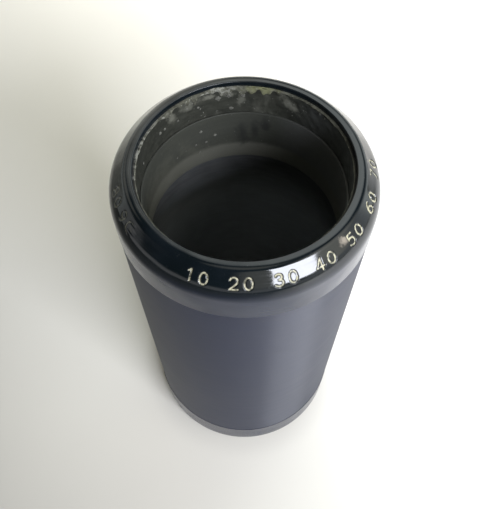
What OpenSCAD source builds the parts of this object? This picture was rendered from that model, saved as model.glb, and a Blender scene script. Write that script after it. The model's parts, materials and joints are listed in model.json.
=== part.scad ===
// Phonograph cylinder: a dark celluloid sleeve with a bevelled title rim, drawn over a fibre core.
// A straight ring near each end rides on the tapered mandrel of the machine, and the smaller ring
// is at the title end. The record stands on its plain end, with the axis along +Z.

/* [Mandrel rings] */
// Bore of the ring at the title end
title_bore_d = 42.8; // [36:0.1:50]
// Length of each ring
ring_length = 15; // [8:0.5:25]
// Thickness of each ring
ring_wall = 0.4; // [0.3:0.1:1.2]
// Eased inner edges of each ring
ring_ease = 0.15; // [0.05:0.05:0.25]
// Depth of the title ring below the crest of the lip
ring_setback = 8.7; // [5:0.1:12]

/* [Core] */
// Thickness of the collar, which makes the plain ring that much wider than the title ring
collar_wall = 1.55; // [0.8:0.05:3]
// Thickness of the fibre tube
core_wall = 2.9; // [1:0.05:4]
// Room for cement between pieces that slide into each other
cement_gap = 0.05; // [0.02:0.01:0.1]
// How far the cement bead stands in from the collar
bead_w = 0.2; // [0.1:0.05:0.3]
// How far the cement bead hangs down the collar
bead_h = 1.6; // [0.8:0.1:2.4]
// How far the cement bead climbs the mouth
bead_rise = 0.5; // [0.2:0.1:0.8]

/* [Sleeve] */
// Length from the plain end to the crest of the lip
record_length = 108; // [80:1:160]
// Thickness of the celluloid
wall = 1.4; // [1:0.1:1.8]
// Depth of the playing band below the smooth bands
groove_relief = 0.1; // [0.05:0.05:0.3]
// Length at the plain end that has no grooves
plain_blank = 10; // [4:0.5:16]
// Length at the title end that has no grooves, rim included
title_blank = 12.4; // [9:0.2:18]
// Rounding of the outer edge at the plain end
plain_edge_r = 1.2; // [0.6:0.1:1.4]

/* [Title rim] */
// Slope of the bevel above the flat of the end, in degrees
bevel_angle = 45; // [40:1:50]
// Flat of the lip round the mouth
lip_flat = 0.6; // [0.2:0.1:1.5]
// Rounding from the flat of the lip to the bevel
lip_r = 1.7; // [0.5:0.1:2.5]
// Rounding of the mouth's inner edge
mouth_edge_r = 0.3; // [0.1:0.05:0.5]
// Rounding of the shoulder below the bevel
shoulder_r = 5.5; // [1:0.5:7]
// Room between the mandrel and the lips at both ends
lip_clearance = 0.9; // [0.5:0.1:1.2]

/* [Hidden] */
$fn = 180;
arc_steps = 8;

// Radii from the mandrel outwards; the record measures 55.6 mm across
title_bore_r = title_bore_d / 2;
collar_bore_r = title_bore_r + ring_wall + cement_gap;
collar_r = collar_bore_r + collar_wall;
core_bore_r = collar_r + cement_gap;
plain_bore_r = core_bore_r - cement_gap - ring_wall;
core_r = core_bore_r + core_wall;
sleeve_bore_r = core_r + cement_gap;
record_r = sleeve_bore_r + wall;
mouth_r = title_bore_r + lip_clearance;
plain_lip_r = plain_bore_r + lip_clearance;

// Heights of the title ring
title_ring_top = record_length - ring_setback;
title_ring_low = title_ring_top - ring_length;

// Rim: from the mouth's edge over the flat of the lip, round to the bevel and down to the shoulder
lip_flat_r = mouth_r + mouth_edge_r + lip_flat;
bevel_top_r = lip_flat_r + lip_r * sin(bevel_angle);
bevel_top_z = record_length - lip_r * (1 - cos(bevel_angle));
corner_z = bevel_top_z - (record_r - bevel_top_r) * tan(bevel_angle);
shoulder_turn = 90 - bevel_angle;
shoulder_z = corner_z - shoulder_r * tan(shoulder_turn / 2);
lip_under_z = record_length - wall;

// Inside face of the bevel, one wall thickness under the outer one
function under_bevel_z(r) = corner_z + (record_r - r) * tan(bevel_angle) - wall / cos(bevel_angle);
function under_bevel_r(z) = record_r - (z + wall / cos(bevel_angle) - corner_z) / tan(bevel_angle);

function arc(centre, r, from, to) =
    [for (i = [0:arc_steps]) let (a = from + (to - from) * i / arc_steps) centre + r * [cos(a), sin(a)]];

// Outside of the sleeve, filled to the axis
module sleeve_outline() {
    polygon(concat(
        [[0, 0]],
        arc([record_r - plain_edge_r, plain_edge_r], plain_edge_r, -90, 0),
        [[record_r, plain_blank], [record_r - groove_relief, plain_blank]],
        [[record_r - groove_relief, record_length - title_blank], [record_r, record_length - title_blank]],
        arc([record_r - shoulder_r, shoulder_z], shoulder_r, 0, shoulder_turn),
        arc([lip_flat_r, record_length - lip_r], lip_r, shoulder_turn, 90),
        arc([mouth_r + mouth_edge_r, record_length - mouth_edge_r], mouth_edge_r, 90, 180),
        [[0, record_length - mouth_edge_r]]
    ));
}

// Space inside the sleeve: the core's room under the turned-in ends, and the way in at each end
module sleeve_hollow() {
    polygon([
        [0, wall],
        [sleeve_bore_r, wall],
        [sleeve_bore_r, under_bevel_z(sleeve_bore_r)],
        [under_bevel_r(lip_under_z), lip_under_z],
        [0, lip_under_z]
    ]);
    translate([0, -wall]) square([plain_lip_r, 3 * wall]);
    translate([0, lip_under_z - wall]) square([mouth_r, 3 * wall]);
}

// Straight ring whose inner edges are eased
module mandrel_ring(bore_r, low) {
    translate([0, 0, low]) rotate_extrude() polygon([
        [bore_r + ring_ease, 0],
        [bore_r + ring_wall, 0],
        [bore_r + ring_wall, ring_length],
        [bore_r + ring_ease, ring_length],
        [bore_r, ring_length - ring_ease],
        [bore_r, ring_ease]
    ]);
}

module record_sleeve() {
    color("#343a4c") rotate_extrude() difference() {
        sleeve_outline();
        sleeve_hollow();
    }
}

// Fibre tube from one turned-in end to the other, with its top cut to lie under the bevel
module core_tube() {
    color("#2b2a26") rotate_extrude() polygon([
        [core_bore_r, wall],
        [core_r, wall],
        [core_r, under_bevel_z(core_r) - cement_gap],
        [core_bore_r, under_bevel_z(core_bore_r) - cement_gap]
    ]);
}

// Fibre collar that brings the core's bore in to the title ring and shows below the lip
module title_end_collar() {
    color("#4a4d45") rotate_extrude() intersection() {
        translate([collar_bore_r, title_ring_low])
            square([collar_wall, lip_under_z - title_ring_low]);
        polygon([
            [0, 0],
            [sleeve_bore_r, 0],
            [sleeve_bore_r, under_bevel_z(sleeve_bore_r) - cement_gap],
            [0, under_bevel_z(0) - cement_gap]
        ]);
    }
}

module title_end_ring() {
    color("#6c6f6b") mandrel_ring(title_bore_r, title_ring_low);
}

module plain_end_ring() {
    color("#6c6f6b") mandrel_ring(plain_bore_r, wall);
}

// Bead of cement squeezed out between the lip and the collar, which fills the corner of the mouth
module rim_cement() {
    color("#6f7263") rotate_extrude() polygon([
        [mouth_r, lip_under_z],
        [mouth_r, lip_under_z + bead_rise],
        [collar_bore_r - bead_w, lip_under_z],
        [collar_bore_r, lip_under_z - bead_h],
        [collar_bore_r, lip_under_z]
    ]);
}

record_sleeve();
core_tube();
title_end_collar();
title_end_ring();
plain_end_ring();
rim_cement();
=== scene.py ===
"""Phonograph cylinder: the finished surfaces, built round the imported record.

Sizes are in millimetres unless a name or a heading says otherwise. Angles go round the axis, from the
front of the record, which faces -Y, towards its right side. Heights go up from the plain end.
"""

import json
import math

import bpy
import numpy as np
from mathutils import Matrix, Vector


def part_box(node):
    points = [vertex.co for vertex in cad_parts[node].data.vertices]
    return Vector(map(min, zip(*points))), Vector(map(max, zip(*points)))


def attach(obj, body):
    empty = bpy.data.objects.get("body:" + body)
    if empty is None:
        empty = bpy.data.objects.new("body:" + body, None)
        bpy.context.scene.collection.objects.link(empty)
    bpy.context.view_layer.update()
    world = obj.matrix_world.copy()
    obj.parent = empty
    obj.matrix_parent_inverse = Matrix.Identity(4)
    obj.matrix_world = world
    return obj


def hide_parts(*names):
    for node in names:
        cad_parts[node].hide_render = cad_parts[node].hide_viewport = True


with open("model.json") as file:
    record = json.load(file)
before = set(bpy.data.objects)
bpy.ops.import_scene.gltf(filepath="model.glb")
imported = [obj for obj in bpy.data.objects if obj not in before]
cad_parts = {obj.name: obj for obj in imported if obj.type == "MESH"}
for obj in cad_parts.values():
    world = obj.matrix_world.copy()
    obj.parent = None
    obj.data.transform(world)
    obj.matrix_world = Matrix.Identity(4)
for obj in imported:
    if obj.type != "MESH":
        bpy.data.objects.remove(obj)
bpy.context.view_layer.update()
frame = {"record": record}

MM = 0.001
INCH = 25.4
TURN = 2 * math.pi


def box_mm(node):
    """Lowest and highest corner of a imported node, in millimetres."""
    low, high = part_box(node)
    return low / MM, high / MM


def direction(azimuth, elevation=0.0):
    """A unit vector from the axis, both angles in degrees."""
    a, e = math.radians(azimuth), math.radians(elevation)
    return Vector((math.sin(a) * math.cos(e), -math.cos(a) * math.cos(e), math.sin(e)))


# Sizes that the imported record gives
_, sleeve_high = box_mm("record_sleeve")
core_low, core_high = box_mm("core_tube")
collar_low, collar_high = box_mm("title_end_collar")
title_ring_low, title_ring_high = box_mm("title_end_ring")
plain_ring_low, plain_ring_high = box_mm("plain_end_ring")
_, cement_high = box_mm("rim_cement")
bore_r = {m["name"]: m["dims"]["r_mm"] for m in frame["record"]["mounts"] if m["kind"] == "bore"}

glue_gap = 0.05
record_r = sleeve_high.x
record_length = sleeve_high.z
core_r = core_high.x
collar_r = collar_high.x
mouth_r = cement_high.x
lip_under_z = collar_high.z
wall = record_length - lip_under_z
title_bore_r = bore_r["title_end_bore"]
plain_bore_r = bore_r["plain_end_bore"]
collar_bore_r = title_ring_high.x + glue_gap
sleeve_bore_r = core_r + glue_gap

# Sizes of the sleeve's bands and rim
plain_blank = 10
title_blank = 12.4
groove_relief = 0.1
groove_depth = 0.03
grooves_per_inch = 100
plain_edge_r = 1.2
bevel_angle = math.radians(45)
lip_flat = 0.6
lip_r = 1.7
mouth_edge_r = 0.3
shoulder_r = 5.5
lip_clearance = mouth_r - title_bore_r

plain_lip_r = plain_bore_r + lip_clearance
band_low = plain_blank
band_high = record_length - title_blank
band_r = record_r - groove_relief
groove_turns = round((band_high - band_low) / INCH * grooves_per_inch)

# Rim: from the mouth's edge over the flat of the lip, round to the bevel and down to the shoulder
lip_flat_r = mouth_r + mouth_edge_r + lip_flat
bevel_top_r = lip_flat_r + lip_r * math.sin(bevel_angle)
bevel_top_z = record_length - lip_r * (1 - math.cos(bevel_angle))
corner_z = bevel_top_z - (record_r - bevel_top_r) * math.tan(bevel_angle)
shoulder_turn = math.pi / 2 - bevel_angle
shoulder_z = corner_z - shoulder_r * math.tan(shoulder_turn / 2)

# Marks on the bevel: plain numbers, evenly spaced, and two worn ones at the left
mark_h = 2.33
mark_w = 1.5
mark_gap = 1.2
mark_stroke = 0.58
mark_depth = 0.16
mark_base = 3.53
mark_r = 26
first_mark = -19.5
mark_spacing = 18.3
filled_marks = 7

# Number, azimuth and share of the pigment left
MARKS = [(10 * (i + 1), first_mark + mark_spacing * i, 1.0) for i in range(filled_marks)]
MARKS += [(80, -75, 0.2), (90, -61, 0.2)]

# Camera: over the record and in front of it, with the frame of a 480 by 509 picture
frame_h_px = 509
focal_px = 610.0
sensor = 36
camera_back = 76.1
camera_up = 203.3
camera_pitch = math.radians(59.92)
camera_yaw = math.radians(-0.81)
camera_roll = math.radians(0.58)


# Mesh helpers

def arc(centre, radius, start, end, steps):
    """Points of a section along an arc, from one angle to another."""
    angles = np.linspace(start, end, steps + 1)
    return [(centre[0] + radius * math.cos(a), centre[1] + radius * math.sin(a)) for a in angles]


def run(start, end, steps):
    """Points of a section along a straight run, without its last point."""
    shares = np.arange(steps) / steps
    return [(start[0] + (end[0] - start[0]) * s, start[1] + (end[1] - start[1]) * s) for s in shares]


def even_angles(columns):
    """Angles evenly round the axis, from the front."""
    return np.arange(columns) * TURN / columns


def smooth_step(low, high, value):
    """0 before the range, 1 after it and a smooth climb between."""
    share = np.clip((value - low) / (high - low), 0, 1)
    return share * share * (3 - 2 * share)


def unwrap(mesh, across, along):
    """A UV map from two shares per vertex, closed where a face crosses the seam of either share."""
    corners = np.zeros(len(mesh.loops), np.int32)
    mesh.loops.foreach_get("vertex_index", corners)
    starts = np.zeros(len(mesh.polygons), np.int32)
    mesh.polygons.foreach_get("loop_start", starts)
    sizes = np.diff(np.append(starts, len(corners)))
    places = np.zeros((len(corners), 2), np.float32)
    for axis, share in enumerate((across, along)):
        values = share[corners]
        highest = np.repeat(np.maximum.reduceat(values, starts), sizes)
        places[:, axis] = np.where(highest - values > 0.5, values + 1, values)
    mesh.uv_layers.new(name="OFBake").data.foreach_set("uv", places.ravel())


def piece(name, points, faces, material, node=None):
    """A mesh object in the record's frame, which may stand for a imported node."""
    sharp_from = math.radians(28)
    mesh = bpy.data.meshes.new(name)
    mesh.from_pydata((np.asarray(points) * MM).tolist(), [], faces)
    mesh.shade_smooth()
    mesh.set_sharp_from_angle(angle=sharp_from)
    mesh.materials.append(material)
    made = bpy.data.objects.new(name, mesh)
    bpy.context.scene.collection.objects.link(made)
    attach(made, "root")
    if node:
        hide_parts(node)
    return made


def on_wall(radii, angles, heights):
    """Points on round walls, one row per height and one column per angle."""
    radii, angles, heights = np.broadcast_arrays(radii, angles, heights)
    return np.stack([radii * np.sin(angles), -radii * np.cos(angles), heights], axis=-1)


def revolve(name, angles, radii, heights, material, node):
    """A closed ring: rows run round its section, up the outside first, and columns run round the axis."""
    rows, columns = radii.shape
    points = on_wall(radii, angles, heights).reshape(-1, 3)
    row, column = np.meshgrid(np.arange(rows), np.arange(columns), indexing="ij")
    row_at = row * columns
    next_row_at = (row + 1) % rows * columns
    next_column = (column + 1) % columns
    corners = [row_at + column, row_at + next_column, next_row_at + next_column, next_row_at + column]
    faces = np.stack(corners, axis=2).reshape(-1, 4).tolist()
    made = piece(name, points, faces, material, node)
    r, z = radii.mean(axis=1), heights.mean(axis=1)
    lengths = np.hypot(np.diff(r, append=r[0]), np.diff(z, append=z[0]))
    along = np.repeat((np.cumsum(lengths) - lengths) / lengths.sum(), columns)
    across = np.tile((angles - angles[0]) / TURN, rows)
    unwrap(made.data, across, along)
    return made


def spread(section, columns):
    """Radii and heights of a section repeated round the axis."""
    grid = np.repeat(np.array(section, float)[:, None, :], columns, axis=1)
    return grid[:, :, 0], grid[:, :, 1]


class Ripples:
    """Smooth random waves over a wall, which close round the axis."""

    def __init__(self, seed, waves, finest, per_mm):
        draw = np.random.default_rng(seed)
        self.turns = draw.integers(-finest, finest + 1, waves)
        self.climb = draw.uniform(-per_mm, per_mm, waves)
        self.phase = draw.uniform(0, TURN, waves)
        self.scale = math.sqrt(2 / waves)

    def __call__(self, angle, height):
        angle, height = np.broadcast_arrays(angle, height)
        total = np.zeros(angle.shape)
        for turns, climb, phase in zip(self.turns, self.climb, self.phase):
            total += np.cos(turns * angle + climb * height + phase)
        return total * self.scale


# Node helpers

def add(tree, kind, inputs=None, **settings):
    """A shader node, with its settings and with its inputs linked or set."""
    made = tree.nodes.new(kind)
    for name, value in settings.items():
        setattr(made, name, value)
    for name, value in (inputs or {}).items():
        if isinstance(value, bpy.types.NodeSocket):
            tree.links.new(value, made.inputs[name])
        else:
            made.inputs[name].default_value = value
    return made


def calc(tree, operation, first, second):
    """The result of a Math node on two values."""
    return add(tree, "ShaderNodeMath", {0: first, 1: second}, operation=operation).outputs[0]


def plus(tree, first, second):
    """Two values added."""
    return calc(tree, "ADD", first, second)


def times(tree, first, second):
    """Two values multiplied."""
    return calc(tree, "MULTIPLY", first, second)


def ramp(tree, value, low, high, to_low=0.0, to_high=1.0):
    """A value carried smoothly from one range to another, and held at its ends."""
    inputs = {"Value": value, "From Min": low, "From Max": high, "To Min": to_low, "To Max": to_high}
    return add(tree, "ShaderNodeMapRange", inputs, interpolation_type="SMOOTHSTEP").outputs[0]


def ramp_mm(tree, length, low, high, to_low=0.0, to_high=1.0):
    """The same for a length, whose first range is in millimetres."""
    return ramp(tree, length, low * MM, high * MM, to_low, to_high)


def mix(tree, share, first, second):
    """A colour between two colours."""
    return add(tree, "ShaderNodeMix", {0: share, 6: first, 7: second}, data_type="RGBA").outputs[2]


def between(tree, pattern, first, second, low=0.3, high=0.7):
    """A colour that wanders between two colours with a pattern."""
    return mix(tree, ramp(tree, pattern, low, high), first, second)


def over(tree, colour, pattern, low, high, most, second):
    """A colour with a second one over it where a pattern is high, by the given share at most."""
    return mix(tree, ramp(tree, pattern, low, high, 0.0, most), colour, second)


def noise(tree, place, scale, detail=3.0, rough=0.55):
    """A cloudy pattern between 0 and 1."""
    inputs = {"Vector": place, "Scale": scale, "Detail": detail, "Roughness": rough}
    return add(tree, "ShaderNodeTexNoise", inputs).outputs["Fac"]


def stretched(tree, place, factors):
    """A place with each of its coordinates multiplied."""
    return add(tree, "ShaderNodeVectorMath", {0: place, 1: factors}, operation="MULTIPLY").outputs[0]


def part_of(tree, place, axis):
    """One coordinate of a place."""
    return add(tree, "ShaderNodeSeparateXYZ", {0: place}).outputs[axis]


def reach(tree, place, way):
    """How far a place lies along a direction."""
    return add(tree, "ShaderNodeVectorMath", {0: place, 1: way}, operation="DOT_PRODUCT").outputs["Value"]


def length_of(tree, place):
    """Distance from the origin."""
    return add(tree, "ShaderNodeVectorMath", {0: place}, operation="LENGTH").outputs["Value"]


def radius_of(tree, place):
    """Distance from the axis."""
    return length_of(tree, stretched(tree, place, (1, 1, 0)))


def patch(tree, place, ragged, azimuth, height, radius, across, tall, lean=0.0):
    """An oval patch on a round wall, 1 in its middle and 0 outside, with an edge that follows a noise."""
    middle = (direction(azimuth) * radius + Vector((0, 0, height))) * MM
    inputs = {
        "Vector": place,
        "Location": middle,
        "Rotation": (0, math.radians(lean), math.radians(azimuth)),
        "Scale": Vector((across, across, tall)) * MM / 2,
    }
    local = add(tree, "ShaderNodeMapping", inputs, vector_type="TEXTURE").outputs[0]
    raggedness = 2.4
    edge = plus(tree, length_of(tree, local), times(tree, ragged, raggedness))
    return ramp(tree, edge, raggedness, raggedness - 1)


def new_material(name, metallic=0.0, specular=0.5, anisotropic=0.0):
    """A material with its shader, and the place on the record that its patterns follow."""
    quarter_turn = 0.25
    material = bpy.data.materials.new(name)
    material.use_nodes = True
    tree = material.node_tree
    shader = tree.nodes["Principled BSDF"]
    shader.inputs["Metallic"].default_value = metallic
    shader.inputs["Specular IOR Level"].default_value = specular
    shader.inputs["Anisotropic"].default_value = anisotropic
    shader.inputs["Anisotropic Rotation"].default_value = quarter_turn
    place = add(tree, "ShaderNodeTexCoord").outputs["Object"]
    return material, tree, shader, place


def surface(tree, shader, colour, roughness, height, relief):
    """Links a colour, a roughness and a relief of the given depth to the shader."""
    bump = add(tree, "ShaderNodeBump", {"Height": height, "Strength": 1.0, "Distance": relief * MM})
    tree.links.new(colour, shader.inputs["Base Color"])
    tree.links.new(roughness, shader.inputs["Roughness"])
    tree.links.new(bump.outputs[0], shader.inputs["Normal"])


# Materials

# Azimuths of the scuffed film and painted reflection on the bevel, of the darkening and of the painted fill
# light inside the mouth
haze_and_reflection_azimuth = -103
darkening_azimuth = -106
painted_fill_azimuth = 105


def left_haze(tree, place, height, from_axis):
    """The share of a dry, scuffed film on the left of the bevel, partly a painted reflection of the pale
    floor, which thins out over the lip.
    """
    leftward = calc(tree, "DIVIDE", reach(tree, place, direction(haze_and_reflection_azimuth)), from_axis)
    outside = ramp_mm(tree, from_axis, mouth_r + 0.15, mouth_r + 0.5)
    below_lip = ramp_mm(tree, height, bevel_top_z + 0.42, bevel_top_z - 0.25, 0.06, 0.30)
    haze_and_reflection = times(tree, times(tree, outside, below_lip), ramp(tree, leftward, 0.80, 0.95))
    scuffs = ramp(tree, noise(tree, place, 500, 4.0, 0.6), 0.35, 0.65, 0.7, 1.0)
    return times(tree, haze_and_reflection, scuffs)


def polish(tree, rings, clouds, height, from_axis, on_rim):
    """The roughness of the polish: least on the rim, more on the smooth bands, dull on the mouth's edge."""
    streaks = ramp(tree, rings, 0.3, 0.75, 0.06, 0.14)
    rough = plus(tree, streaks, ramp(tree, clouds, 0.45, 0.75, 0.0, 0.08))
    in_mouth = ramp_mm(tree, from_axis, mouth_r + 0.05, mouth_r + 0.2, 0.25, 0.0)
    at_edge = ramp_mm(tree, height, record_length - 0.5, record_length - 0.25, 0.6, 1.0)
    rough = plus(tree, rough, times(tree, in_mouth, at_edge))
    return plus(tree, rough, ramp(tree, on_rim, 0.0, 1.0, 0.1, 0.0))


def polished_celluloid():
    """Navy celluloid, nearly black on the rim, slightly wavy, with a scuffed film that is partly painted
    reflection, a scuff, dust and filled marks.
    """
    material, tree, shader, place = new_material("polished_celluloid")
    rings = noise(tree, stretched(tree, place, (30, 30, 5000)), 1.0, 4.0)
    clouds = noise(tree, place, 140, 4.0)
    height = part_of(tree, place, "Z")
    from_axis = radius_of(tree, place)
    on_rim = ramp_mm(tree, height, shoulder_z - 0.5, corner_z + 0.5)
    black = between(tree, clouds, (0.003, 0.0055, 0.007, 1), (0.005, 0.008, 0.011, 1))
    blue = between(tree, clouds, (0.006, 0.011, 0.029, 1), (0.008, 0.014, 0.035, 1))
    colour = mix(tree, on_rim, blue, black)
    # A scuffed film on the left of the bevel, partly a painted reflection of the pale floor.
    haze_and_reflection = times(tree, on_rim, left_haze(tree, place, height, from_axis))
    colour = mix(tree, haze_and_reflection, colour, (0.25, 0.255, 0.235, 1))
    ragged = noise(tree, place, 900, 4.0, 0.6)
    scuff = patch(tree, place, ragged, azimuth=47, height=106.5, radius=25, across=2.4, tall=2.0)
    colour = mix(tree, times(tree, scuff, 0.7), colour, (0.32, 0.28, 0.23, 1))
    dust = noise(tree, place, 2600, 2.0)
    colour = over(tree, colour, dust, 0.71, 0.76, 0.35, (0.16, 0.16, 0.15, 1))
    pigment = add(tree, "ShaderNodeAttribute", attribute_name="pigment").outputs["Fac"]
    worn = ramp(tree, noise(tree, place, 1200), 0.36, 0.56, 0.15, 1.0)
    filled = times(tree, pigment, worn)
    cream = mix(tree, clouds, (0.40, 0.38, 0.25, 1), (0.54, 0.51, 0.38, 1))
    colour = mix(tree, filled, colour, cream)
    rough = polish(tree, rings, clouds, height, from_axis, on_rim)
    rough = calc(tree, "MAXIMUM", rough, times(tree, filled, 0.55))
    waves = noise(tree, place, 170, 1.0, 0.4)
    relief = plus(tree, times(tree, rings, 0.03), waves)
    surface(tree, shader, colour, rough, relief, 0.16)
    return material


def grooved_celluloid():
    """The same celluloid in the playing band, greyed by the fine groove and by rings of wear."""
    material, tree, shader, place = new_material("grooved_celluloid", specular=0.8, anisotropic=1.0)
    shader.inputs["Sheen Weight"].default_value = 0.04
    shader.inputs["Sheen Roughness"].default_value = 0.4
    rings = noise(tree, stretched(tree, place, (25, 25, 900)), 1.0, 5.0)
    clouds = noise(tree, place, 60, 4.0)
    grains = noise(tree, place, 3000, 2.0)
    colour = between(tree, rings, (0.011, 0.0155, 0.038, 1), (0.0135, 0.0195, 0.044, 1))
    colour = over(tree, colour, clouds, 0.4, 0.75, 0.6, (0.0155, 0.021, 0.045, 1))
    colour = over(tree, colour, grains, 0.66, 0.74, 0.3, (0.14, 0.14, 0.15, 1))
    streaks = ramp(tree, rings, 0.25, 0.75, 0.31, 0.34)
    rough = plus(tree, streaks, ramp(tree, clouds, 0.4, 0.8, 0.0, 0.03))
    tangent = add(tree, "ShaderNodeTangent", direction_type="RADIAL", axis="Z").outputs[0]
    tree.links.new(tangent, shader.inputs["Tangent"])
    surface(tree, shader, colour, rough, grains, 0.0005)
    return material


def core_fibre():
    """Pressed fibre with coarse strands that run round the tube, with painted shade near the title ring and
    painted light that makes it lighter further down.
    """
    material, tree, shader, place = new_material("core_fibre", specular=0.3)
    strands = noise(tree, stretched(tree, place, (120, 120, 900)), 1.0, 5.0, 0.65)
    clouds = noise(tree, place, 90)
    colour = between(tree, strands, (0.064, 0.067, 0.069, 1), (0.100, 0.104, 0.106, 1))
    colour = over(tree, colour, clouds, 0.5, 0.8, 0.5, (0.110, 0.113, 0.112, 1))
    # Painted light and shade: darker just under the title ring and lighter deeper in the bore.
    painted_light_colour = mix(tree, strands, (0.26, 0.28, 0.30, 1), (0.39, 0.42, 0.45, 1))
    painted_shade_down_to = title_ring_low.z - 4.3
    painted_light_from = title_ring_low.z - 22.3
    below = ramp_mm(tree, part_of(tree, place, "Z"), painted_shade_down_to, painted_light_from)
    colour = mix(tree, below, colour, painted_light_colour)
    surface(tree, shader, colour, ramp(tree, strands, 0.2, 0.8, 0.75, 0.95), strands, 0.06)
    return material


# Glue smears on the collar: azimuth, height, width, length, lean and strength
SMEARS = (
    (-178, 103.0, 2.0, 4.2, 0, 0.5),
    (154, 104.2, 2.6, 7.0, 52, 0.75),
    (-146, 104.9, 4.5, 3.6, 0, 0.5),
    (-134, 104.4, 2.5, 4.5, 20, 0.6),
    (-158, 105.2, 4.0, 1.6, 0, 0.7),
    (-171, 104.9, 3.0, 1.4, 0, 0.7),
)


def collar_fibre():
    """Aged olive-grey fibre, darker towards the left, with painted fill light on its shaded right and pale
    glue below the lip.
    """
    material, tree, shader, place = new_material("collar_fibre", specular=0.3)
    strands = noise(tree, stretched(tree, place, (160, 160, 700)), 1.0, 5.0, 0.65)
    drips = noise(tree, stretched(tree, place, (260, 260, 110)), 1.0, 4.0, 0.6)
    grains = noise(tree, place, 1700, 2.0)
    ragged = noise(tree, place, 700, 4.0, 0.65)
    colour = between(tree, strands, (0.016, 0.017, 0.013, 1), (0.030, 0.031, 0.024, 1))
    colour = over(tree, colour, drips, 0.52, 0.68, 0.6, (0.07, 0.07, 0.058, 1))
    # Darker towards the left of the mouth.
    left_darkening = ramp_mm(tree, reach(tree, place, direction(darkening_azimuth)), 17, 21, 0.0, 0.5)
    colour = mix(tree, left_darkening, colour, (0.010, 0.011, 0.008, 1))
    # Painted light: colour lightens the shaded inner wall on the right.
    painted_fill_light = ramp_mm(tree, reach(tree, place, direction(painted_fill_azimuth)), 15, 21, 0.0, 0.8)
    colour = mix(tree, painted_fill_light, colour, (0.08, 0.085, 0.082, 1))
    for azimuth, height, across, tall, lean, strength in SMEARS:
        smear = patch(tree, place, ragged, azimuth, height, collar_bore_r, across, tall, lean)
        colour = mix(tree, times(tree, smear, strength), colour, (0.14, 0.14, 0.115, 1))
    colour = over(tree, colour, grains, 0.69, 0.74, 0.6, (0.26, 0.26, 0.23, 1))
    surface(tree, shader, colour, ramp(tree, drips, 0.3, 0.7, 0.85, 0.6), strands, 0.08)
    return material


# Dark stains on the title ring: azimuth, height, width and length
STAINS = (
    (-178, 92.8, 3.2, 9.0),
    (173, 93.6, 2.6, 6.0),
    (167, 95.4, 3.0, 4.5),
)


def ring_wear(tree, place, height, colour, clouds):
    """The ring's colour with painted fill light on its shaded right, a lower strip lightened as painted
    light, a lighter place low on the left and dark stains.
    """
    # Painted light: colour lightens the shaded inner side of the ring on the right.
    painted_fill_light = ramp_mm(tree, reach(tree, place, direction(painted_fill_azimuth)), 11, 20, 0.0, 0.8)
    colour = mix(tree, painted_fill_light, colour, (0.18, 0.185, 0.18, 1))
    ragged = noise(tree, place, 500, 4.0, 0.65)
    uneven = plus(tree, height, times(tree, ragged, 0.8 * MM))
    # Painted light: a lighter lower strip, standing in for the edge of the ring catching more light.
    strip_top = title_ring_low.z + 4.8
    strip = ramp_mm(tree, uneven, strip_top - 0.4, strip_top + 1.4, 0.75, 0.0)
    colour = mix(tree, strip, colour, (0.155, 0.155, 0.13, 1))
    # A lighter place low on the left of the ring.
    worn = patch(tree, place, clouds, azimuth=-112, height=89, radius=title_bore_r, across=34, tall=13)
    colour = mix(tree, times(tree, worn, 0.4), colour, (0.11, 0.11, 0.088, 1))
    blotches = noise(tree, stretched(tree, place, (330, 330, 230)), 1.0, 4.0, 0.6)
    for azimuth, at, across, tall in STAINS:
        stain = patch(tree, place, blotches, azimuth, at, title_bore_r, across, tall)
        colour = mix(tree, times(tree, stain, 0.75), colour, (0.020, 0.021, 0.020, 1))
    return colour


def ring_metal():
    """Dull grey sheet metal with tarnish, stains, painted light on its right and its lower strip, small
    grains and painted shade along its upper edge.
    """
    material, tree, shader, place = new_material("ring_metal", metallic=0.3, specular=0.3)
    height = part_of(tree, place, "Z")
    brush = noise(tree, stretched(tree, place, (40, 40, 1500)), 1.0, 4.0)
    clouds = noise(tree, place, 150, 4.0, 0.6)
    grains = noise(tree, place, 1500, 2.0)
    colour = between(tree, brush, (0.046, 0.048, 0.040, 1), (0.056, 0.058, 0.048, 1), 0.2, 0.8)
    colour = over(tree, colour, clouds, 0.35, 0.65, 0.6, (0.041, 0.043, 0.036, 1))
    colour = ring_wear(tree, place, height, colour, clouds)
    colour = over(tree, colour, grains, 0.71, 0.75, 0.6, (0.22, 0.22, 0.20, 1))
    # Painted shade: the upper edge is darkened where it meets the collar, so that it catches no highlight.
    top = ramp_mm(tree, height, title_ring_high.z - 0.25, title_ring_high.z - 0.1, 0.0, 0.35)
    colour = mix(tree, top, colour, (0.03, 0.031, 0.028, 1))
    surface(tree, shader, colour, ramp(tree, clouds, 0.3, 0.7, 0.5, 0.65), brush, 0.006)
    return material


# Chalky places on the cement: azimuth and width
CHALK = (
    (-110, 20),
    (-166, 9),
)


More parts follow.
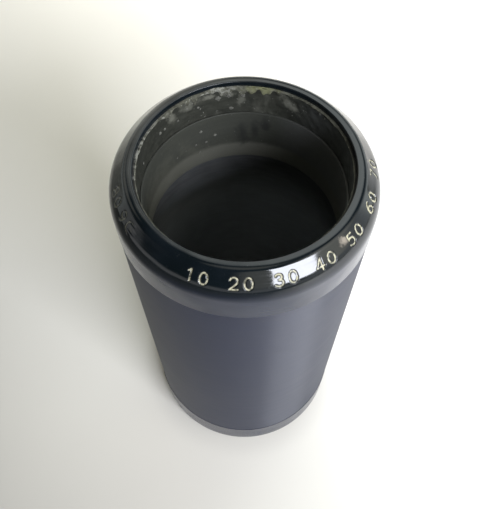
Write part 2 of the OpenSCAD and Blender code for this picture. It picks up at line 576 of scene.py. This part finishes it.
def dry_cement():
    """Dull grey cement, with painted shade on the front of its ledge under the lip, chalky in places and
    yellow-green at the rear.
    """
    material, tree, shader, place = new_material("dry_cement", specular=0.3)
    lumps = noise(tree, place, 900, 5.0, 0.65)
    clouds = noise(tree, place, 160, 4.0)
    grains = noise(tree, place, 2400, 2.0)
    ragged = noise(tree, place, 500)
    colour = between(tree, lumps, (0.035, 0.035, 0.026, 1), (0.10, 0.10, 0.077, 1))
    colour = over(tree, colour, clouds, 0.52, 0.66, 0.5, (0.19, 0.19, 0.155, 1))
    colour = over(tree, colour, grains, 0.62, 0.70, 0.7, (0.32, 0.32, 0.27, 1))
    # Painted shade: the ledge is darkened over its front half, under the lip.
    on_ledge = ramp_mm(tree, radius_of(tree, place), collar_bore_r + 0.02, collar_bore_r + 0.16)
    in_front = ramp_mm(tree, part_of(tree, place, "Y"), 9, 4, 0.0, 0.92)
    colour = mix(tree, times(tree, on_ledge, in_front), colour, (0.006, 0.006, 0.006, 1))
    crumbs = ramp(tree, noise(tree, place, 1400, 3.0, 0.6), 0.42, 0.58, 0.0, 0.75)
    for azimuth, across in CHALK:
        chalk = patch(tree, place, ragged, azimuth, lip_under_z - 0.3, collar_bore_r, across, tall=6)
        colour = mix(tree, times(tree, chalk, crumbs), colour, (0.27, 0.27, 0.24, 1))
    green = patch(tree, place, ragged, 171, lip_under_z, collar_bore_r, across=7, tall=5)
    colour = mix(tree, times(tree, green, 0.85), colour, (0.17, 0.175, 0.09, 1))
    surface(tree, shader, colour, ramp(tree, lumps, 0.2, 0.8, 0.7, 0.95), lumps, 0.1)
    return material


def dried_drops():
    """Grey drops of the same cement, mottled and grainy."""
    material, tree, shader, place = new_material("dried_drops", specular=0.3)
    lumps = noise(tree, place, 2200, 4.0, 0.6)
    grains = noise(tree, place, 6000, 2.0)
    colour = between(tree, lumps, (0.06, 0.06, 0.051, 1), (0.13, 0.13, 0.113, 1))
    colour = over(tree, colour, grains, 0.6, 0.7, 0.6, (0.20, 0.20, 0.175, 1))
    surface(tree, shader, colour, ramp(tree, lumps, 0.2, 0.8, 0.7, 0.95), grains, 0.03)
    return material


# Marks on the rim

def bow(centre, width, height, start, end):
    """Points along part of an ellipse, between two angles in degrees."""
    count = 15
    angles = np.radians(np.linspace(start, end, count))
    return [(centre[0] + width * math.cos(a), centre[1] + height * math.sin(a)) for a in angles]


# Strokes of each numeral, in a box that is 0.6 wide and 1 high
numeral_w = 0.6
NUMERALS = {
    "0": [bow((0.30, 0.50), 0.30, 0.50, 90, 450)],
    "1": [[(0.16, 0.82), (0.36, 1.0), (0.36, 0.0)]],
    "2": [bow((0.30, 0.70), 0.29, 0.30, 165, -40) + [(0.02, 0.0), (0.60, 0.0)]],
    "3": [bow((0.28, 0.76), 0.26, 0.24, 150, -90), bow((0.28, 0.27), 0.31, 0.27, 90, -150)],
    "4": [[(0.44, 0.0), (0.44, 1.0), (0.0, 0.30), (0.62, 0.30)]],
    "5": [[(0.54, 1.0), (0.10, 1.0), (0.06, 0.56)] + bow((0.27, 0.33), 0.32, 0.33, 130, -145)],
    "6": [bow((0.31, 0.30), 0.29, 0.30, 0, 360), bow((0.56, 0.30), 0.54, 0.70, 95, 180)],
    "7": [[(0.0, 1.0), (0.60, 1.0), (0.22, 0.0)]],
    "8": [bow((0.30, 0.75), 0.25, 0.25, 90, 450), bow((0.30, 0.26), 0.30, 0.26, 90, 450)],
    "9": [bow((0.29, 0.70), 0.29, 0.30, 0, 360), bow((0.04, 0.70), 0.54, 0.70, -85, 0)],
}


def strokes_of(number):
    """Line segments of a number, centred on its own width, in millimetres on the rim."""
    digits = str(number)
    width = len(digits) * mark_w + (len(digits) - 1) * mark_gap
    found = []
    for place, digit in enumerate(digits):
        left = place * (mark_w + mark_gap) - width / 2
        for path in NUMERALS[digit]:
            points = [(left + x * mark_w / numeral_w, mark_base + y * mark_h) for x, y in path]
            found += list(zip(points[:-1], points[1:]))
    return np.array(found)


def distance_to(segments, across, along):
    """Least distance from each point on the rim to a set of line segments."""
    nearest = np.full(across.shape, np.inf)
    for start, end in segments:
        run_x, run_y = end - start
        share = ((across - start[0]) * run_x + (along - start[1]) * run_y) / (run_x**2 + run_y**2)
        share = np.clip(share, 0, 1)
        gap = np.hypot(across - start[0] - share * run_x, along - start[1] - share * run_y)
        nearest = np.minimum(nearest, gap)
    return nearest


def mark_distance(angles, along):
    """Distance from each point of the rim to the nearest stroke, and the share of pigment left in it."""
    nearest = np.full(angles.shape, np.inf)
    filled = np.zeros(angles.shape)
    for number, azimuth, share in MARKS:
        across = (np.mod(angles - math.radians(azimuth) + math.pi, TURN) - math.pi) * mark_r
        close = np.abs(across) < 1.5 * mark_w + mark_gap
        nearest[close] = distance_to(strokes_of(number), across[close], along[close])
        filled[close] = share
    return nearest, filled


# The sleeve

def under_bevel_z(radius):
    """Height of the inside face of the bevel, one wall thickness under the outer one."""
    return corner_z + (record_r - radius) * math.tan(bevel_angle) - wall / math.cos(bevel_angle)


def under_bevel_r(height):
    """Radius at which the inside face of the bevel has a given height."""
    return record_r - (height + wall / math.cos(bevel_angle) - corner_z) / math.tan(bevel_angle)


def rim_section():
    """The section of the rim, the row where its shoulder starts and the rows that the marks cross."""
    unmarked_turn = 0.6 * shoulder_turn
    shoulder_centre = (record_r - shoulder_r, shoulder_z)
    land = run((record_r, band_high), (record_r, shoulder_z), steps=3)
    shoulder = arc(shoulder_centre, shoulder_r, 0, unmarked_turn, steps=6)[:-1]
    upper = arc(shoulder_centre, shoulder_r, unmarked_turn, shoulder_turn, steps=22)
    lip = arc((lip_flat_r, record_length - lip_r), lip_r, shoulder_turn, math.pi / 2, steps=9)
    bevel = run(upper[-1], lip[0], steps=34)[1:]
    score_r = mouth_r + mouth_edge_r + 0.05
    score_w = 0.09
    score_depth = 0.01
    score = [(score_r + score_w, record_length), (score_r, record_length - score_depth)]
    bead_r = 0.2
    edge = arc((mouth_r + bead_r, record_length - bead_r), bead_r, math.pi / 2, math.pi, steps=6)
    inside = [
        (mouth_r, lip_under_z),
        (under_bevel_r(lip_under_z), lip_under_z),
        (sleeve_bore_r, under_bevel_z(sleeve_bore_r)),
        (sleeve_bore_r, band_high),
    ]
    first_row = len(land)
    first_mark_row = first_row + len(shoulder)
    mark_rows = slice(first_mark_row, first_mark_row + len(upper) + len(bevel))
    return land + shoulder + upper + bevel + lip + score + edge + inside, first_row, mark_rows


# Stretches of the rim, fine where it has marks: first and last azimuth, and columns
STRETCHES = (
    (-88, -58, 185),
    (-58, -27, 16),
    (-27, 98, 780),
    (98, 272, 95),
)


def title_rim(material):
    """The rim at the title end, with its numbers cut into the bevel, the worn ones less deep."""
    section, first_row, rows = rim_section()
    angles = np.concatenate([np.linspace(a, b, columns, endpoint=False) for a, b, columns in STRETCHES])
    angles = np.radians(angles)
    radii, heights = spread(section, len(angles))
    steps = np.diff(np.array(section), axis=0)
    lengths = np.append(0, np.cumsum(np.hypot(steps[:, 0], steps[:, 1])))
    along = np.broadcast_to((lengths - lengths[first_row])[rows, None], radii[rows].shape)
    gap, filled = mark_distance(np.broadcast_to(angles, along.shape), along)
    cut = mark_depth * (0.5 + 0.5 * filled) * smooth_step(mark_stroke / 2, mark_stroke / 5, gap)
    slope = np.gradient(np.array(section), axis=0)[rows]
    slope /= np.hypot(slope[:, 0], slope[:, 1])[:, None]
    radii[rows] -= cut * slope[:, 1, None]
    heights[rows] += cut * slope[:, 0, None]
    made = revolve("title_rim", angles, radii, heights, material, "record_sleeve")
    pigment = np.zeros(radii.shape, np.float32)
    pigment[rows] = filled * smooth_step(mark_stroke * 0.34, mark_stroke * 0.20, gap)
    made.data.attributes.new("pigment", "FLOAT", "POINT").data.foreach_set("value", pigment.ravel())
    return made


# The spiral's crests and valleys are lines that take turns, and each runs on into the line two above it
band_columns = 144
band_lines = 2 * groove_turns - 1


def band_points():
    """Vertices of the grooved band: the spiral's lines, its last valley, and rings at its top and foot."""
    fade_turns = 1.5
    pitch = (band_high - band_low) / groove_turns
    angles = even_angles(band_columns)
    line = np.arange(band_lines)[:, None]
    turns = line / 2 + angles / TURN
    fade = smooth_step(0, fade_turns, turns) * smooth_step(0, fade_turns, groove_turns - turns)
    spiral = on_wall(band_r - groove_depth * fade * (line % 2), angles, band_low + pitch * turns)
    last_valley = [[0, -band_r, band_high - pitch / 2]]
    top = on_wall(band_r, angles, band_high)
    inner_top = on_wall(sleeve_bore_r, angles, band_high)
    inner_foot = on_wall(sleeve_bore_r, angles, band_low)
    foot = on_wall(band_r, angles, band_low)[1:]
    return np.concatenate([spiral.reshape(-1, 3), last_valley, top, inner_top, inner_foot, foot])


def band_faces():
    """Faces of the grooved band, with the corners where the spiral starts and ends closed one by one."""
    columns = band_columns
    end = columns - 1
    valley_at = band_lines * columns
    top_at = valley_at + 1
    foot_at = top_at + 3 * columns

    def on_spiral(row, column):
        """The vertex on a line of the spiral."""
        row += 2 * (column // columns)
        if row == band_lines:
            return valley_at
        return top_at if row > band_lines else row * columns + column % columns

    def on_ring(ring, column):
        """The vertex on the top, the inner top, the inner foot or the foot, numbered from 0 to 3."""
        column %= columns
        if ring < 3:
            return top_at + ring * columns + column
        return foot_at + column - 1 if column else 0

    def strip(lower, lower_row, upper, upper_row, first, last):
        """Faces between two rows, from one column to another."""
        for c in range(first, last):
            yield lower(lower_row, c), lower(lower_row, c + 1), upper(upper_row, c + 1), upper(upper_row, c)

    faces = []
    for row in range(band_lines - 1):
        faces += strip(on_spiral, row, on_spiral, row + 1, 0, columns)
    faces += strip(on_ring, 3, on_spiral, 0, 1, end)
    faces += strip(on_spiral, band_lines - 1, on_ring, 0, 1, end)
    for ring in range(3):
        faces += strip(on_ring, ring, on_ring, ring + 1, 0, columns)
    last = on_spiral(band_lines - 1, 0)
    faces.append((0, on_ring(3, 1), on_spiral(0, 1)))
    faces.append((on_ring(3, end), 0, on_spiral(1, 0), on_spiral(2, 0), on_spiral(0, end)))
    faces.append((last, last + 1, on_ring(0, 1), on_ring(0, 0), valley_at))
    faces.append((last + end, on_ring(0, 0), on_ring(0, end)))
    return faces


def playing_band(material):
    """The grooved band, with one right-hand spiral groove that climbs as it goes round."""
    points = band_points()
    made = piece("playing_band", points, band_faces(), material, "record_sleeve")
    wall_share = 0.48
    inner_from = 0.98
    outer = np.hypot(points[:, 0], points[:, 1]) > (band_r + sleeve_bore_r) / 2
    climb = (points[:, 2] - band_low) / (band_high - band_low)
    along = np.where(outer, wall_share * climb, inner_from - wall_share * climb)
    unwrap(made.data, np.arctan2(points[:, 0], -points[:, 1]) / TURN % 1, along)
    return made


def plain_end_band(material):
    """The smooth band at the plain end, with its rounded foot and turned-in lip."""
    columns = 288
    section = arc((record_r - plain_edge_r, plain_edge_r), plain_edge_r, -math.pi / 2, 0, steps=10)
    section += run((record_r, plain_edge_r), (record_r, band_low), steps=4)[1:]
    section += [
        (record_r, band_low),
        (sleeve_bore_r, band_low),
        (sleeve_bore_r, wall),
        (plain_lip_r, wall),
        (plain_lip_r, 0),
    ]
    angles = even_angles(columns)
    radii, heights = spread(section, columns)
    return revolve("plain_end_band", angles, radii, heights, material, "record_sleeve")


# The lining

def rough_ring(name, outside, inside, ripple, relief, columns, material, node):
    """A ring with a true outside, and an inside wall that ripples away from the bore by up to the relief."""
    swing = 1.5
    angles = even_angles(columns)
    radii, heights = spread(outside + inside, columns)
    rows = slice(len(outside), None)
    radii[rows] += relief * smooth_step(-swing, swing, ripple(angles, heights[rows]))
    return revolve(name, angles, radii, heights, material, node)


def fibre_tube(material):
    """The core tube, with a felted bore."""
    core_bore_r = collar_r + glue_gap
    outside = [(core_r, core_low.z), (core_r, under_bevel_z(core_r) - glue_gap)]
    top = (core_bore_r, under_bevel_z(core_bore_r) - glue_gap)
    foot = (core_bore_r, core_low.z)
    inside = run(top, foot, steps=90) + [foot]
    felt = Ripples(seed=11, waves=60, finest=30, per_mm=1.2)
    return rough_ring(
        "fibre_tube", outside, inside, felt, relief=0.12, columns=240,
        material=material, node="core_tube",
    )


def fibre_collar(material):
    """The collar behind the title ring, whose wall shows between the ring and the lip."""
    outside = [
        (collar_r, collar_low.z),
        (collar_r, under_bevel_z(collar_r) - glue_gap),
        (under_bevel_r(collar_high.z + glue_gap), collar_high.z),
    ]
    top = (collar_bore_r, collar_high.z)
    ring_top = (collar_bore_r, title_ring_high.z)
    foot = (collar_bore_r, collar_low.z)
    inside = run(top, ring_top, steps=24) + run(ring_top, foot, steps=8) + [foot]
    felt = Ripples(seed=12, waves=70, finest=60, per_mm=2.5)
    return rough_ring(
        "fibre_collar", outside, inside, felt, relief=0.14, columns=360,
        material=material, node="title_end_collar",
    )


def sheet_ring(node, low, high, bore, seed, material):
    """A ring of sheet metal with eased edges and a bore that is a little dented."""
    ease = 0.15
    outside = [(high.x, low.z), (high.x, high.z)]
    inside = arc((bore + ease, high.z - ease), ease, math.pi / 2, math.pi, steps=4)[:-1]
    inside += run((bore, high.z - ease), (bore, low.z + ease), steps=24)
    inside += arc((bore + ease, low.z + ease), ease, math.pi, math.pi * 1.5, steps=4)
    dents = Ripples(seed, waves=30, finest=14, per_mm=0.5)
    return rough_ring(
        node + "_sheet", outside, inside, dents, relief=0.05, columns=240,
        material=material, node=node,
    )


# The cement: azimuth, and how far it climbs the mouth and hangs down the collar there
CEMENT = (
    (-180, 0.10, 1.10),
    (-170, 0.35, 1.60),
    (-163, 0.45, 1.60),
    (-152, 0.25, 1.60),
    (-142, 0.20, 1.50),
    (-130, 0.05, 0.70),
    (-119, 0.03, 0.22),
    (-98, 0.05, 0.22),
    (-88, 0.10, 0.20),
    (-60, 0.10, 0.15),
    (60, 0.10, 0.15),
    (110, 0.10, 0.30),
    (140, 0.10, 0.35),
    (150, 0.04, 0.40),
    (158, 0.10, 0.40),
    (164, 0.10, 0.80),
    (171, 0.05, 1.50),
    (180, 0.10, 1.10),
)


def cement_crust(material):
    """The uneven bead of cement squeezed out between the lip and the collar.

    Its edges and its thickness take their waves at different heights, so that they don't move together.
    """
    columns = 540
    rows = 14
    angles = even_angles(columns)
    azimuths = np.degrees(np.where(angles > math.pi, angles - TURN, angles))
    marks, climbs, hangs = np.array(CEMENT).T
    fine = Ripples(seed=21, waves=60, finest=90, per_mm=1.0)
    broad = Ripples(seed=22, waves=20, finest=24, per_mm=0.2)
    climb = np.interp(azimuths, marks, climbs) * np.clip(1 + 0.4 * broad(angles, 9), 0.3, 1.7)
    ragged = np.clip(1 + 0.25 * broad(angles, 0) + 0.45 * fine(angles, 0), 0.3, 2.0)
    hang = np.interp(azimuths, marks, hangs) * ragged
    stand = np.clip(0.05 + 0.05 * hang + 0.03 * broad(angles, 5), 0.03, 0.2)
    shares = np.linspace(0, 1, rows)[:, None]
    heights = lip_under_z + climb - shares * (climb + hang)
    slope = np.clip((heights - lip_under_z) / climb, 0, 1)
    wall_r = collar_bore_r + (mouth_r - collar_bore_r) * slope
    swell = np.sin(math.pi * (0.08 + 0.92 * shares)) ** 0.6
    bumps = np.clip(1 + 0.4 * fine(angles, heights * 3), 0.2, 1.8)
    sunk_foot = 0.16 * shares**6
    radii = wall_r - stand * swell * bumps + sunk_foot
    back_r = mouth_r + 0.1
    back = np.full((1, columns), back_r)
    radii = np.concatenate([back, back, radii])
    heights = np.concatenate([[lip_under_z - hang], [lip_under_z + climb], heights])
    return revolve("cement_crust", angles, radii, heights, material, "rim_cement")


# Splashes of cement on the collar and the title ring: azimuth, height and width
SPLASHES = (
    (-164.4, 104.2, 1.35),
    (-170.9, 104.6, 1.25),
    (-179.0, 104.3, 1.00),
    (-152.0, 103.2, 0.65),
    (-145.0, 104.2, 0.65),
    (-128.0, 102.8, 0.70),
    (-124.0, 102.8, 0.85),
    (-103.0, 101.7, 0.70),
    (-138.0, 102.3, 0.55),
    (133.0, 105.9, 0.70),
    (129.0, 105.6, 0.50),
    (-151.9, 95.7, 0.85),
    (-161.0, 93.1, 0.85),
    (-154.7, 91.6, 0.70),
    (-147.6, 92.0, 0.65),
    (-150.0, 88.9, 0.65),
    (-133.0, 91.5, 0.55),
    (-172.0, 100.6, 1.00),
)


def cement_splashes(material):
    """Small flat lumps, each one a bumpy cap that is sunk in its wall."""
    rings = 5
    sides = 12
    flatness = 0.3
    draw = np.random.default_rng(41)
    points = []
    faces = []
    across = []
    along = []
    for place, (azimuth, height, width) in enumerate(SPLASHES):
        wall_r = collar_bore_r if height > title_ring_high.z else title_bore_r
        start = len(points)
        out = direction(azimuth)
        side = direction(azimuth + 90)
        for ring in range(rings + 1):
            tilt = math.pi * ring / rings
            for turn in even_angles(sides):
                swell = width / 2 * draw.uniform(0.8, 1.2)
                inward = flatness * math.cos(tilt) * swell
                spot = out * (wall_r - inward) + side * (math.sin(tilt) * math.cos(turn) * swell)
                points.append((spot.x, spot.y, height + math.sin(tilt) * math.sin(turn) * swell))
                across.append((place + turn / TURN * 0.9) / len(SPLASHES))
                along.append(ring / rings)
        for ring in range(rings):
            low = start + ring * sides
            for s in range(sides):
                after = (s + 1) % sides
                faces.append((low + s, low + sides + s, low + sides + after, low + after))
    made = piece("cement_splashes", points, faces, material)
    unwrap(made.data, np.array(across), np.array(along))
    return made


# Camera

def camera():
    """The photograph's view."""
    level_right = Vector((math.cos(camera_yaw), -math.sin(camera_yaw), 0))
    level_ahead = Vector((math.sin(camera_yaw), math.cos(camera_yaw), 0))
    down = Vector((0, 0, -1))
    ahead = math.cos(camera_pitch) * level_ahead + math.sin(camera_pitch) * down
    level_up = math.sin(camera_pitch) * level_ahead - math.cos(camera_pitch) * down
    right = math.cos(camera_roll) * level_right - math.sin(camera_roll) * level_up
    up = math.sin(camera_roll) * level_right + math.cos(camera_roll) * level_up
    data = bpy.data.cameras.new("camera")
    data.sensor_width = sensor
    data.lens = focal_px / frame_h_px * sensor
    data.clip_start = 0.005
    made = bpy.data.objects.new("camera", data)
    bpy.context.scene.collection.objects.link(made)
    turn = Matrix((right, up, -ahead)).transposed().to_4x4()
    made.matrix_world = Matrix.Translation(Vector((0, -camera_back, camera_up)) * MM) @ turn
    bpy.context.scene.camera = made


# Floor and light, whose distances are in metres

def floor_material():
    """A pale floor with painted shade that darkens it towards the front and the left, and a painted contact
    shadow round the record's foot.
    """
    painted_shade_side = direction(-52)
    darkest = 0.15
    foot_shade_mm = 8
    material, tree, shader, place = new_material("floor", specular=0.1)
    mottle = noise(tree, place, 30)
    # Painted shade: the floor's colour darkens towards the front and the left.
    pale = ramp(tree, reach(tree, place, painted_shade_side), -0.055, 0.20, 0.94, 0.12)
    pale = calc(tree, "MAXIMUM", pale, darkest)
    pale = plus(tree, pale, ramp(tree, mottle, 0.0, 1.0, 0.0, 0.02))
    # Painted contact shadow round the record's foot.
    painted_foot_shadow = ramp_mm(tree, radius_of(tree, place), record_r, record_r + foot_shade_mm, 0.9, 1.0)
    pale = times(tree, pale, painted_foot_shadow)
    colour = mix(tree, pale, (0, 0, 0, 1), (1, 0.965, 0.89, 1))
    surface(tree, shader, colour, ramp(tree, mottle, 0.0, 1.0, 0.7, 0.8), mottle, 0.01)
    return material


def floor():
    """A wide floor, just under the record's foot."""
    half = 3.0
    gap = 0.05 * MM
    mesh = bpy.data.meshes.new("floor")
    corners = [(-half, -half, 0), (half, -half, 0), (half, half, 0), (-half, half, 0)]
    mesh.from_pydata(corners, [], [(0, 1, 2, 3)])
    mesh.materials.append(floor_material())
    made = bpy.data.objects.new("floor", mesh)
    made.location.z = -gap
    bpy.context.scene.collection.objects.link(made)


def window_light():
    """One soft window, in front of the record and to its right."""
    away = 0.8
    radiance = 25.3
    towards = direction(37, 28)
    data = bpy.data.lights.new("window", "AREA")
    data.shape = "RECTANGLE"
    data.size = 0.43
    data.size_y = 0.29
    data.color = (0.88, 0.91, 1)
    data.energy = radiance * math.pi * data.size * data.size_y
    made = bpy.data.objects.new("window", data)
    made.location = Vector((0, 0, record_length * MM)) + away * towards
    made.rotation_mode = "QUATERNION"
    made.rotation_quaternion = (-towards).to_track_quat("-Z", "Y")
    made.visible_camera = False
    bpy.context.scene.collection.objects.link(made)


# Pools of daylight: azimuth, distance, lamp's height, radius, level, softness and colour
POOLS = (
    (102, 0.618, 0.9, 0.6, 0.8, 0.1, (0.78, 0.82, 1)),
    (165, 0.57, 0.6, 0.5, 1.0, 0.5, (1, 0.98, 0.95)),
    (-152, 0.75, 0.7, 0.5, 0.7, 0.8, (1, 0.99, 0.95)),
)


def daylight_pool(azimuth, away, up, pool_r, level, soft, tint):
    """A pool of daylight on the floor beside the record, which touches its foot at most."""
    data = bpy.data.lights.new("daylight_pool", "SPOT")
    data.spot_size = 2 * math.atan(pool_r / up)
    data.spot_blend = soft
    data.color = tint
    data.shadow_soft_size = 0.01
    data.energy = 4 * math.pi * level * math.pi * up**2
    made = bpy.data.objects.new("daylight_pool", data)
    made.location = direction(azimuth) * away + Vector((0, 0, up))
    made.visible_camera = False
    bpy.context.scene.collection.objects.link(made)


# Soft lights of the room: azimuth, elevation and half width in degrees, and strength
ROOM_LIGHTS = (
    (68, 30, 34, 2.0),
    (14, 26, 22, 0.9),
    (-158, 22, 24, 1.3),
    (-170, 42, 16, 1.1),
    (-126, 38, 18, 0.8),
    (0, 78, 20, 0.9),
)
COOL_LIGHT = (155, 54, 25, 2.5)


def background(tree, colour, strength):
    """Light of one colour from all round, of the given strength."""
    return add(tree, "ShaderNodeBackground", {"Color": colour, "Strength": strength}).outputs[0]


def room_light():
    """A dim room with soft lights, a pale wall behind that brightens to the right, and a pale backdrop.

    The camera sees the backdrop all round. Reflections see it low in front, and elsewhere the room itself.
    """
    world = bpy.data.worlds.new("room")
    bpy.context.scene.world = world
    world.use_nodes = True
    tree = world.node_tree
    way = add(tree, "ShaderNodeTexCoord").outputs["Generated"]
    up = part_of(tree, way, "Z")

    def lobe(azimuth, elevation, wide, strength):
        """A soft round light."""
        facing = reach(tree, way, direction(azimuth, elevation))
        return ramp(tree, facing, math.cos(math.radians(wide)), 1.0, 0.0, strength)

    warm_level = 0.03
    for light in ROOM_LIGHTS:
        warm_level = plus(tree, warm_level, lobe(*light))
    rear = ramp(tree, reach(tree, way, direction(180)), -0.1, 0.35)
    low = ramp(tree, up, 0.55, 0.05)
    wall_level = ramp(tree, reach(tree, way, direction(90)), -0.5, 0.65, 0.8, 2.2)
    pale_wall = times(tree, rear, times(tree, low, wall_level))
    warm = background(tree, (1, 0.985, 0.86, 1), warm_level)
    cool = background(tree, (0.92, 0.99, 0.97, 1), plus(tree, lobe(*COOL_LIGHT), pale_wall))
    lit = add(tree, "ShaderNodeAddShader", {0: warm, 1: cool}).outputs[0]

    rays = add(tree, "ShaderNodeLightPath").outputs
    mirrored = calc(tree, "MAXIMUM", rays["Is Glossy Ray"], rays["Is Transmission Ray"])
    in_front = calc(tree, "SUBTRACT", 1.0, rear)
    horizon = times(tree, in_front, ramp(tree, up, 0.12, 0.26, 1.0, 0.0))
    seen = calc(tree, "MAXIMUM", rays["Is Camera Ray"], times(tree, mirrored, horizon))
    pale = background(tree, (0.9, 0.9, 0.89, 1), 1.0)
    shown = add(tree, "ShaderNodeMixShader", {0: seen, 1: lit, 2: pale}).outputs[0]
    tree.links.new(shown, tree.nodes["World Output"].inputs["Surface"])


polished = polished_celluloid()
title_rim(polished)
playing_band(grooved_celluloid())
plain_end_band(polished)
fibre_tube(core_fibre())
fibre_collar(collar_fibre())
metal = ring_metal()
sheet_ring("title_end_ring", title_ring_low, title_ring_high, title_bore_r, 31, metal)
sheet_ring("plain_end_ring", plain_ring_low, plain_ring_high, plain_bore_r, 32, metal)
cement_crust(dry_cement())
cement_splashes(dried_drops())

camera()
floor()
window_light()
for pool in POOLS:
    daylight_pool(*pool)
room_light()
bpy.context.scene.view_settings.view_transform = "Standard"
